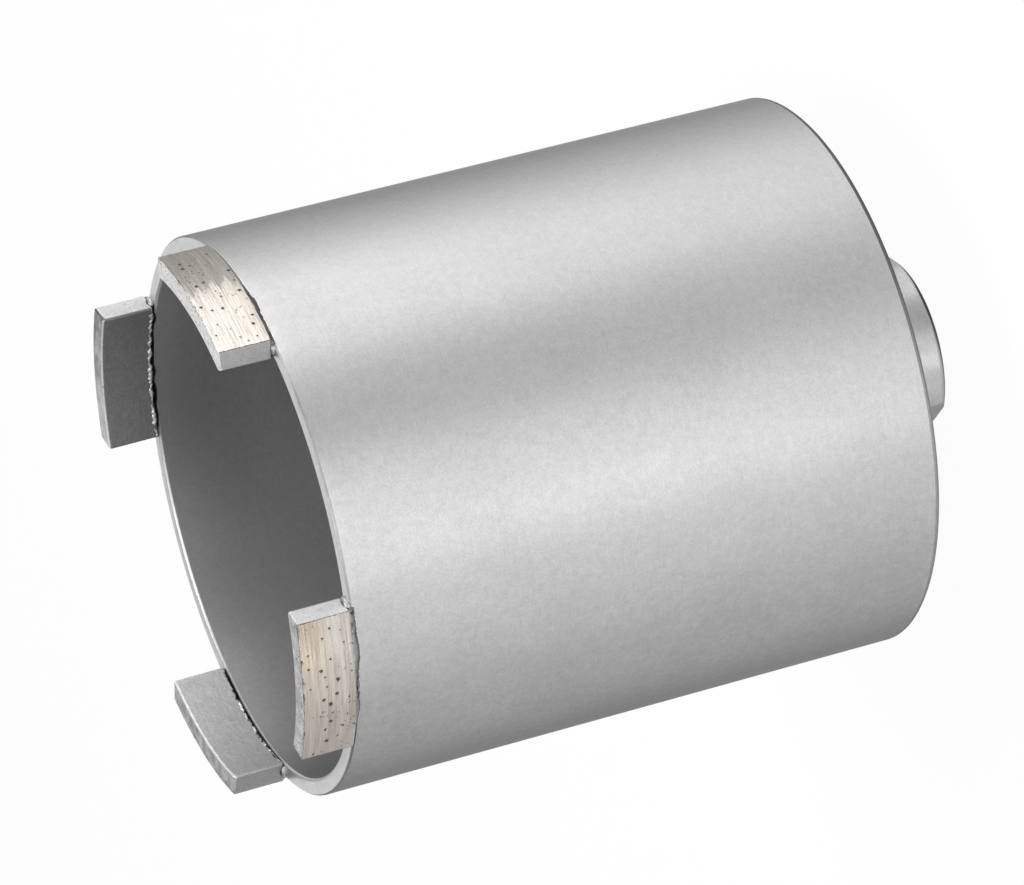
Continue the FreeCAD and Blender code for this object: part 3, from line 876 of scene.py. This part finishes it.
# Painted shade on the inside, the tip, the end at the lower angle and the other end.
FACE_SHADE = {1: (0.97, 0.74, 0.36, 0.28), 2: (0.45, 0.68, 0.4, 0.86),
              3: (0.5, 0.42, 0.5, 0.26), 4: (0.5, -0.1, 0.6, 0.3)}
PAINTED_FOOT = {1: 0.3, 2: 0.3, 3: 0.2, 4: -0.9}
STREAK_DEPTH = {1: 0.035, 2: 0.035, 3: 0.025, 4: 0.055}
EDGE_STAIN = {1: 0.4, 2: 0.4, 3: 0.9, 4: 0.6}
TIP_SPECKS = {1: 40, 2: 60, 3: 150, 4: 80}
CLUSTERS, SPECKS_IN_CLUSTER = 9, 5


def spots(across, along, places, sizes, depth, power):
    """The darkest of many round spots, each a depth times e to minus its distance over its
    size, raised to a power."""
    dark = 0 * y
    for (a, b), size in zip(places, sizes):
        away = np.hypot(across - a, along - b)
        dark = np.maximum(dark, depth * np.exp(-(away / size) ** power))
    return dark


def grain_wake(places, sizes, halo):
    """The ridge and the stain round each grain, from 0 to 1.

    The ridge is a tail that sinks with e to minus the distance over 1.1, and a bow round the
    grain's front. The stain is a halo and a shorter tail."""
    ridge, stain = 0 * y, spots(y, z, places, sizes * halo, 0.92, 3)
    for (gy, gz), size in zip(places, sizes):
        behind, beside = gy - y, hump(z, gz, size)
        ridge = np.maximum(ridge, beside * np.exp(-behind / 1.1) * (behind > 0) * 0.8)
        bow = hump(np.hypot(y - gy, z - gz), 1.9 * size, 0.45 * size)
        ridge = np.maximum(ridge, bow * (behind < 0.3 * size))
        stain = np.maximum(stain, 0.4 * beside * np.exp(-behind / 0.8) * (behind > 0))
    return ridge, stain


def segment_shape(number, seed, ridge):
    """Radius and height of each point: the plain section with streaks, ridges, a rough
    skin and rounded ends, held inside the cutting circle and under the tip."""
    streaks = patchy(z * 5.0, y * 0.12, seed) + 0.5 * patchy(z * 11.0, y * 0.3, seed + 7)
    rough = patchy(z * 3.0, y * 3.0, seed + 3) - 0.5
    lift = faces_out * (STREAK_DEPTH[number] * (streaks - 0.75) + 0.05 * ridge) + 0.02 * rough
    across = CUT_INSIDE + x + (lift * look_out - drawn_in)
    upward = z + (lift * look_up - drawn_down)
    return np.minimum(across, CUT_OUTSIDE), FOOT + np.minimum(upward, SEGMENT_HEIGHT - 0.02)


def segment_tones(number, seed):
    """The marks ground, warm, dull and fresh, and how far segment 1's tip is ground too.

    Ragged and jag are slow and quick random shifts, in millimetres, of every border."""
    ragged = 0.9 * (patchy(z * 0.4, y * 0.22, seed + 5) - 0.5)
    jag = 3.6 * (patchy(z * 1.4, y * 0.3, seed + 9) - 0.5)
    jag = jag + 1.6 * (patchy(z * 4.0, y * 0.6, seed) - 0.5)
    foot = PAINTED_FOOT[number]
    ground = faces_out * eased(z + ragged, foot - 0.35, foot + 0.35)
    greyed = 0.5 * (1 - eased(z + ragged + 0.3 * jag, 0.5, 2.2))
    warm, dull, fresh, over = 0.1 + 0 * y, greyed, 0 * y, 0 * y
    if number == 1:  # The wheel also ran over its tip, in a wedge.
        taper = 1.9 - 0.15 * (y + HALF) + 0.5 * (patchy(y * 0.6, z, seed + 6) - 0.5)
        over = faces_up * eased(x + 0 * y, SEGMENT_DEPTH - taper, SEGMENT_DEPTH - taper + 0.3)
        ground, dull = np.maximum(ground, over), np.maximum(dull, over)
    if number == 3:  # It is tan towards one end, and dull at both ends.
        warm = eased(y, -0.6 * HALF, 0.7 * HALF) * eased(z, 0.2 * SEGMENT_HEIGHT, SEGMENT_HEIGHT)
        warm = (0.12 + 0.75 * warm) * (1 - 1.6 * greyed)
        dull = 0.8 * eased(y + jag, 0.35 * HALF, HALF) * eased(z, 0.0, 0.9 * SEGMENT_HEIGHT)
        dull = np.maximum(dull, 0.6 * (1 - eased(y + jag, -0.9 * HALF, -0.1 * HALF)))
        dull = np.maximum(dull, 0.15 + 0.85 * greyed)
    if number == 4:  # One half of it is dull, and the other is freshly ground.
        dull = 0.8 * eased(y + jag, 0.0, 0.5) + 0.2 * eased(y + jag, -1.5, 2.0)
        dull = np.maximum(dull, 0.5 * greyed)
        warm = 0.05 + 0.4 * eased(patchy(y * 0.3, z * 0.55, seed + 11), 0.5, 0.85)
        warm = warm * (1 - dull)
        fresh = (1 - dull) * (0.2 + 0.6 * eased(-y, -0.1 * HALF, 0.6 * HALF))
    return {"ground": ground, "warm": warm, "dull": dull, "fresh": fresh}, over


def segment_stain(number, seed, chance, stain, over):
    """The mark stain: dirt round the grains, along the ends, in clusters of small specks on
    the outside, in specks on the tip, and frayed along the outer edge of the tip."""
    end_line = 0.16 * patchy(z * 2.5, 0 * y, seed + 10) + 0.12 * patchy(z * 0.9, y, seed + 14)
    stain = np.maximum(stain, 0.85 * (1 - eased(HALF - np.abs(y), 0.02, 0.06 + end_line)))
    low, high = (-HALF, 0.5), (HALF, SEGMENT_HEIGHT - 0.5)
    specks = chance.uniform(low, high, (CLUSTERS, 2)).repeat(SPECKS_IN_CLUSTER, axis=0)
    specks = specks + chance.normal(0, 0.45, specks.shape)
    sizes = chance.uniform(0.09, 0.16, len(specks))
    stain = np.maximum(stain, spots(y, z, specks, sizes, 0.7, 4))
    stain = np.maximum(stain, 0.45 * over * patchy(y * 1.1, x * 2, seed + 16))
    stain = stain * (faces_out + on_tip * (number == 1))
    dots = TIP_SPECKS[number]
    dot_y, inward = chance.uniform(-HALF, HALF, dots), chance.uniform(0, 1, dots)
    dot_x = SEGMENT_DEPTH * (1 - inward ** 2 * 0.9)
    sizes = chance.uniform(0.09, 0.2, dots)
    stain = np.maximum(stain, spots(y, x, zip(dot_y, dot_x), sizes, 0.75, 4) * faces_up)
    from_edge = np.hypot(SEGMENT_DEPTH - loop[:, 0], SEGMENT_HEIGHT - loop[:, 1])[None, :]
    frayed = patchy(y * 1.3, 0 * y, seed + 12) ** 1.5 * EDGE_STAIN[number]
    reach = 0.12 + 0.35 * patchy(y * 1.9, from_edge * 2, seed + 13)
    return np.maximum(stain, frayed * hump(from_edge, 0, reach))


def painted_face_shade(number, seed):
    """The mark of painted shade: each face's own level, a little patchy, and less at the rounded
    corners, which paints a highlight there.
    """
    inside, tip = FACE_SHADE[number][:2]
    painted_shade = inside * np.clip(-look_out, 0, 1) ** 2 + tip * faces_up ** 2 + 0.55 * faces_out ** 2
    painted_shade = painted_shade + 0.5 * (patchy(y * 0.8, x * 1.1, seed + 15) - 0.5) * on_tip
    if number == 1:  # Its tip's painted shade is lighter towards one end.
        painted_shade = painted_shade - 0.34 * eased(y, -0.2 * HALF, 0.5 * HALF) * on_tip
    if number == 2:  # Its inside's painted shade grows darker along its length.
        painted_shade = painted_shade + 0.16 * y / HALF * (look_out < -0.5)
    painted_shade = painted_shade * (0.97 + 0.06 * patchy(y * 1.5, z * 1.5, seed + 8))
    return np.clip(painted_shade * (1 - 0.9 * (4 * look_out ** 2 * look_up ** 2)), 0, 1)


print("grains on the four segments:", [count for count, seed in GRAINS.values()])


# %% Segments with their grains
def make_body(number, across, upward, marks):
    """A segment's body: its rows, a flat cap at each end, and the marks over all of them."""
    middle_x, middle_z = CUT_INSIDE + SEGMENT_DEPTH / 2, FOOT + SEGMENT_HEIGHT / 2
    across = middle_x + cap_shares * (across[cap_rows] - middle_x)
    upward = middle_z + cap_shares * (upward[cap_rows] - middle_z)
    along = np.broadcast_to(row_places[cap_rows][:, None], across.shape)
    grid = set_in_place(across, along, upward, number, SEGMENT_LEANS[number])
    poles = set_in_place(np.full(2, middle_x), np.array([-HALF, HALF]), np.full(2, middle_z),
                         number, SEGMENT_LEANS[number])
    # The ends take their painted shade from the table too.
    end_shade = np.where(cap_rows[:, None] == 0, *FACE_SHADE[number][2:])
    whole = {}
    for name, values in marks.items():
        ends = end_shade if name == "painted_shade" else 0.0
        rows = values[cap_rows] * (1 - on_cap) + on_cap * ends
        whole[name] = np.concatenate([rows.ravel(),
                                      np.broadcast_to(ends, across.shape)[[0, -1], 0]])
    new_piece(f"segment_{number}_body", np.concatenate([grid.reshape(-1, 3), poles]),
              bar_faces(*grid.shape[:2]), [segment_bond, segment_paint], "diamond_bond",
              replaced=(f"segment_{number}",), sharp=50.0, marks=whole, chosen=segment_chosen)


def make_grains(number, places, sizes, chance):
    """A segment's grains: the crystal at each place, turned at random and set to its size."""
    centres = set_in_place(CUT_OUTSIDE - sizes * 0.7, places[:, 0],
                           FOOT + np.clip(places[:, 1], 0.5, SEGMENT_HEIGHT - 0.5), number,
                           SEGMENT_LEANS[number])
    turns = random_turns(chance, len(sizes))
    corners = np.einsum("nij,cj->nci", turns, CRYSTAL) * sizes[:, None, None]
    corners = corners + centres[:, None]
    start = (np.arange(len(sizes)) * len(CRYSTAL))[:, None, None]
    faces = [(start + np.array(kind)[None]).reshape(-1, len(kind[0]))
             for kind in (SQUARES, TRIANGLES)]
    new_piece(f"segment_{number}_diamonds", corners.reshape(-1, 3), faces, [diamond_dark],
              "diamond_bond", sharp=10.0)


def make_segment(number):
    """One segment: its grains' places, its shape, its marks, and then its two meshes."""
    count, seed = GRAINS[number]
    places = scattered(count, seed, SEGMENT_LENGTH - 1.0, SEGMENT_HEIGHT - 0.6, GRAIN_GAP)
    chance = np.random.default_rng(seed + 1)
    sizes = GRAIN_SMALLEST + GRAIN_RANGE * chance.random(count) ** 1.7
    ridge, stain = grain_wake(places, sizes, HALO[number])
    across, upward = segment_shape(number, seed, ridge)
    marks, over = segment_tones(number, seed)
    marks["stain"] = segment_stain(number, seed, chance, stain, over)
    marks["painted_shade"] = painted_face_shade(number, seed)
    make_body(number, across, upward, marks)
    make_grains(number, places, sizes, chance)


for number in SEGMENT_ANGLES:
    make_segment(number)

# %% [markdown]
# ## Weld seams under the segments
#
# Each segment stands on the rim with a narrow gap that the laser fills. Outside, the seam is
# a low fillet of ridges that run along it, darkened where they meet the steel and in their
# creases, partly scorch and partly painted shade. Inside, the metal hangs through as a thin
# lumpy rope beside a dark undercut, and the rope's thin parts and the gap under the seam are
# painted near black as the shadow there. At both ends the seam runs out into a bead. The seam
# and the rope are bars with poles, bent round the axis like the segments, and the beads are
# swollen balls.

# %% Seams
SEAM_LEG = {1: 0.5, 2: 0.5, 3: 0.62, 4: 0.5}
ROPE_SIZE = {1: 0.85, 2: 0.55, 3: 0.7, 4: 0.7}
BEAD_SIZE = {1: 0.6, 2: 0.6, 3: 0.6, 4: 0.42}
SEAM_ROWS, ROPE_ROWS = 260, 420


def bar_piece(name, number, across, along, upward, finish, dark, replaced=()):
    """Make a piece from rings of points along a segment's foot, with a pole in the middle of
    each end. Dark, from 0 to 1, is its mark of scorch and painted shade, which is 0 at the
    poles."""
    grid = set_in_place(across, np.broadcast_to(along, across.shape), upward, number)
    points = np.concatenate([grid.reshape(-1, 3), grid[[0, -1]].mean(axis=1)])
    new_piece(name, points, bar_faces(*grid.shape[:2]), [finish], "silver_weld",
              replaced=replaced, sharp=70.0,
              marks={"weld_scorch_and_shade": np.concatenate([dark.ravel(), np.zeros(2)])})


def make_seam(number):
    """The fused seam between rim and segment: a fillet outside, over a plain foot inside.

    Lively, from 0 to 1, is its relief of ridges and ripples. Its leg, the height of the
    fillet, wanders along the seam. It is darkened at its edges, partly scorch and partly painted
    shade, and in its creases and on its underside in the gap as painted shade."""
    seed = 500 + number
    along = np.linspace(-HALF + 0.05, HALF - 0.05, SEAM_ROWS)[:, None]
    flat = 0 * along
    s = np.linspace(0, 1, 15)[None, :]
    lively = 0.3 * ripples(along * 0.7, 2 * s - 1, 0.5, seed)
    bent = s * 3.0 + 1.2 * patchy(along * 0.6, 0 * s, seed + 3)
    lively = lively + 0.7 * patchy(along * 0.55, bent, seed + 2)
    wander = patchy(along * 0.5, flat, seed + 1) + 0.5 * patchy(along * 1.6, flat, seed)
    wander = wander + 0.4 * (patchy(along * 3.4, flat, seed + 5) - 0.5)
    share = np.clip(1 - np.abs(along) / HALF, 0, 1) ** 0.4
    share = np.maximum(share, (number == 3) * (along > 0) * 0.9)
    leg = SEAM_LEG[number] * (0.55 + 0.6 * wander) * (0.35 + 0.65 * share)
    if number == 3:  # Its fillet runs low towards one end.
        leg = leg * (0.25 + 0.75 * eased(along, -HALF, -0.1 * HALF))
    if number == 4:  # Half of its seam is almost flush with the barrel.
        leg = leg * (1 - 0.85 * eased(along, -0.35 * HALF, 0.1 * HALF))
    bulge = 4 * s * (1 - s)
    across = OUTER + 0.01 + (CUT_OUTSIDE - 0.12 - OUTER) * s ** 0.8
    across = np.minimum(across + bulge * (0.04 + 0.2 * lively), CUT_OUTSIDE)
    upward = RIM - leg + (FOOT + 0.05 - RIM + leg) * s + flat
    under = [(CUT_OUTSIDE - 0.3, FOOT + 0.04), (CUT_INSIDE + 0.3, FOOT + 0.04),
             (CUT_INSIDE + 0.35, FOOT - 0.05), (BORE + 0.4, RIM - 0.02),
             (OUTER - 0.4, RIM - 0.02), (OUTER - 0.05, RIM - 0.3)]
    under = np.broadcast_to(np.array(under), (len(along), len(under), 2))
    across = np.concatenate([across, under[..., 0]], axis=1)
    upward = np.concatenate([upward, under[..., 1]], axis=1)
    edges = np.maximum(eased(s, 0.78, 1.0), 1 - eased(s, 0.0, 0.18))
    edges = edges * (0.6 + 0.4 * patchy(along * 1.1, s * 1.5, seed + 4))
    crease_shade = 1 - eased(lively, 0.28, 0.5)
    fillet = np.maximum(0.95 * edges, 0.8 * crease_shade * (0.3 + bulge))
    fillet = np.maximum(fillet, 0.3 * (number == 3))
    if number == 4:  # The other half is darkened: painted shadow of the gap under the segment.
        painted_gap_shade = 0.6 + 0.4 * patchy(along * 1.3, s * 2.0, seed + 4)
        fillet = painted_gap_shade * (1 - eased(along, -0.2 * HALF, 0.12 * HALF))
    # Its underside in the gap is near black: painted shadow.
    dark = np.concatenate([fillet, np.full(under.shape[:2], 0.95)], axis=1)
    bar_piece(f"seam_{number}", number, across, along, upward, weld_silver, dark,
              replaced=(f"segment_weld_{number}",))


def make_rope(number):
    """The lumpy rope of metal that hangs through inside, along the segment's inner foot.

    Its thickness follows slow lumps and fine ones, and it is darkened where it is thin and on
    its underside: painted shadow of the gap beside it."""
    seed = 600 + number
    along = np.linspace(-HALF + 0.1, HALF - 0.3, ROPE_ROWS)[:, None]
    flat = 0 * along
    lumps, fine = patchy(along * 1.1, flat, seed) ** 1.3, patchy(along * 3.0, flat, seed + 1)
    thick = (0.1 + 0.27 * lumps + 0.1 * fine) * ROPE_SIZE[number]
    thick = np.maximum(thick * np.clip(8 * (1 - np.abs(along) / HALF), 0, 1), 0.02)
    wander = patchy(along * 0.8, flat, seed + 2) - 0.5
    round_it = full_turn(14)[None, :]
    across = CUT_INSIDE + 0.08 + 0.14 * wander + thick * np.cos(round_it)
    upward = FOOT + 0.02 + 0.3 * (fine - 0.5) + thick * np.sin(round_it)
    # On segment 2 the rope is darker still: more painted shadow of the gap.
    deeper_gap_shade = 0.45 * (number == 2)
    dark = 0.97 * (1 - eased(lumps + 0.15 * np.sin(round_it), 0.1 + deeper_gap_shade, 0.42 + deeper_gap_shade))
    bar_piece(f"inner_rope_{number}", number, across, along, upward, rope_silver, dark)


def make_beads(number):
    """The two run-out beads, one at each end of the seam: swollen, uneven balls that are
    darkened on the side of the segment, as painted shade in the crease there, and on top."""
    seed = 700 + number
    chance = np.random.default_rng(seed)
    up = np.linspace(0.06, np.pi - 0.06, 22)[:, None]
    round_it = full_turn(32)[None, :]
    for side, name in ((-1, "left"), (1, "right")):
        size = patchy(up * 1.5, np.cos(round_it) * 1.3 + 5, seed + side) - 0.5
        size = BEAD_SIZE[number] * (1 + 0.2 * size)
        across = (OUTER + BORE) / 2 + 0.25 + size * np.sin(up) * np.cos(round_it) * 1.7
        along = side * (HALF + 0.12) + size * np.sin(up) * np.sin(round_it) * 0.95
        upward = RIM + 0.12 + size * np.cos(up) * chance.uniform(0.8, 1.05)
        inward = -side * np.sin(up) * np.sin(round_it)
        # Painted shade in the crease towards the segment, and darker on top.
        dark = 0.9 * np.maximum(eased(inward, 0.3, 0.75), eased(np.cos(up), 0.7, 0.95))
        bar_piece(f"bead_{number}_{name}", number, across, along, upward, bead_silver, dark)


for number in SEGMENT_ANGLES:
    make_seam(number)
    make_rope(number)
    make_beads(number)

# %% [markdown]
# ## Floor and backdrop
#
# The bit stands on a plain white floor. The floor is partly a lit surface, which keeps the
# bit's soft shadow, and partly an even white for what the camera and the metal see.
# An upright panel of the same finish behind the bit gives its gloss a white to mirror.


# %% Floor
def floor_finish():
    """A pale floor: even white to the camera and to gloss, mixed with a lit surface."""
    finish = new_finish("studio_floor")[0]
    trees[-1].nodes.clear()
    lit = node("BsdfDiffuse", {"Color": grey(0.82)})
    even = node("Emission", {"Color": grey(1.0), "Strength": 1.0})
    path = node("LightPath", {})
    seen = path.outputs["Is Camera Ray"]
    for kind in ("Is Glossy Ray", "Is Transmission Ray"):
        seen = node("Math", {0: seen, 1: path.outputs[kind]}, operation="MAXIMUM").outputs[0]
    mixed = node("MixShader", {0: times(seen, 0.95), 1: lit.outputs[0], 2: even.outputs[0]})
    node("OutputMaterial", {"Surface": mixed.outputs[0]})
    return finish


FLOOR_HALF = 4.0
BACKDROP_AWAY, BACKDROP_HALF, BACKDROP_HIGH = 1.5, 1.3, 1.1
floor_mesh = bpy.data.meshes.new("floor")
square = ((-1, -1), (1, -1), (1, 1), (-1, 1))
corners = [(FLOOR_HALF * a, FLOOR_HALF * b, 0) for a, b in square]
corners += [(BACKDROP_HALF * a, BACKDROP_AWAY, BACKDROP_HIGH * (b + 1) / 2) for a, b in square]
floor_mesh.from_pydata(corners, [], [(0, 1, 2, 3), (4, 5, 6, 7)])
floor_mesh.materials.append(floor_finish())
floor = add_object("floor", floor_mesh)
print("floor:", 2 * FLOOR_HALF, "m wide, backdrop", BACKDROP_HIGH, "m high")

# %% [markdown]
# ## Lights
#
# A brushed cylinder mirrors a lamp as a band along its whole length, at the bearing halfway
# between the lamp and the camera. So two rows of small lamps stand round the bit, and their
# powers draw the barrel's bright and dark bands from one side to the other. A lamp high over
# the mouth lights the segments' tips and the inside, and a weak even sky fills the rest.


# %% Lights
def soft_light(name, azimuth, elevation, distance, size, power):
    """A rectangular lamp at a bearing and height round the barrel's middle, facing it."""
    lamp = bpy.data.lights.new(name, "AREA")
    lamp.shape = "RECTANGLE"
    lamp.size, lamp.size_y = size
    lamp.energy = power
    holder = add_object(name, lamp)
    a, e = math.radians(azimuth), math.radians(elevation)
    away = Vector((math.cos(e) * math.cos(a), math.cos(e) * math.sin(a), math.sin(e)))
    holder.location = Vector((0, 0, LAMP_AIM_HEIGHT)) + away * distance
    holder.rotation_mode = "QUATERNION"
    holder.rotation_quaternion = away.to_track_quat("Z", "Y")


LAMP_AIM_HEIGHT = 0.06
ROW_DISTANCE, ROW_LAMP = 1.0, (0.28, 0.35)
SKY = 0.25
# Each lamp of a row is its azimuth in degrees and its power in watts.
LOWER_ROW = [(-200, 0.15), (-165, 0.45), (-147, 0.9), (-131, 0.65), (-116, 2.2), (-102, 1.05),
             (-88, 1.1)]
UPPER_ROW = [(-45, 0.1), (-30, 2.25), (-15, 1.4), (0, 2.6), (17, 0.8), (36, 0.55)]
for row, elevation, lamps in (("lower", 7, LOWER_ROW), ("upper", 13, UPPER_ROW)):
    for azimuth, power in lamps:
        soft_light(f"{row}_light_{azimuth % 360}", azimuth, elevation, ROW_DISTANCE, ROW_LAMP,
                   power)
soft_light("mouth_light", -60, 75, 1.2, (0.8, 0.8), 12.5)

world = bpy.data.worlds.new("studio_air")
world.use_nodes = True
world.node_tree.nodes["Background"].inputs["Color"].default_value = grey(SKY)
bpy.context.scene.world = world
print("lamps:", len(bpy.data.lights), "with", round(sum(l.energy for l in bpy.data.lights), 2),
      "W in all")

# %% [markdown]
# ## Camera
#
# The camera was fitted to the outline of the barrel in the photo. It stands to the side and
# above, with a long lens, and is turned on its side, so that the upright bit lies across
# the picture as it does there.

# %% Camera
CAMERA_PLACE = Vector((-30.3, -797.9, 327.8)) / METRE
CAMERA_AIM = Vector((0.03697, 0.94808, -0.31587))
CAMERA_ROLL = math.radians(-104.53)
CAMERA_LENS, CAMERA_SENSOR = 208.0, 36.0

camera_data = bpy.data.cameras.new("camera")
camera_data.sensor_width = CAMERA_SENSOR
camera_data.lens = CAMERA_LENS
camera_data.clip_start, camera_data.clip_end = 0.01, 20.0
camera = add_object("camera", camera_data)
camera.location = CAMERA_PLACE
camera.rotation_mode = "QUATERNION"
camera.rotation_quaternion = (CAMERA_AIM.to_track_quat("-Z", "Y")
                              @ Quaternion((0, 0, 1), CAMERA_ROLL))
bpy.context.scene.camera = camera
bpy.context.scene.view_settings.view_transform = "Standard"
print("camera:", round(CAMERA_PLACE.length, 3), "m from the hub's end face")
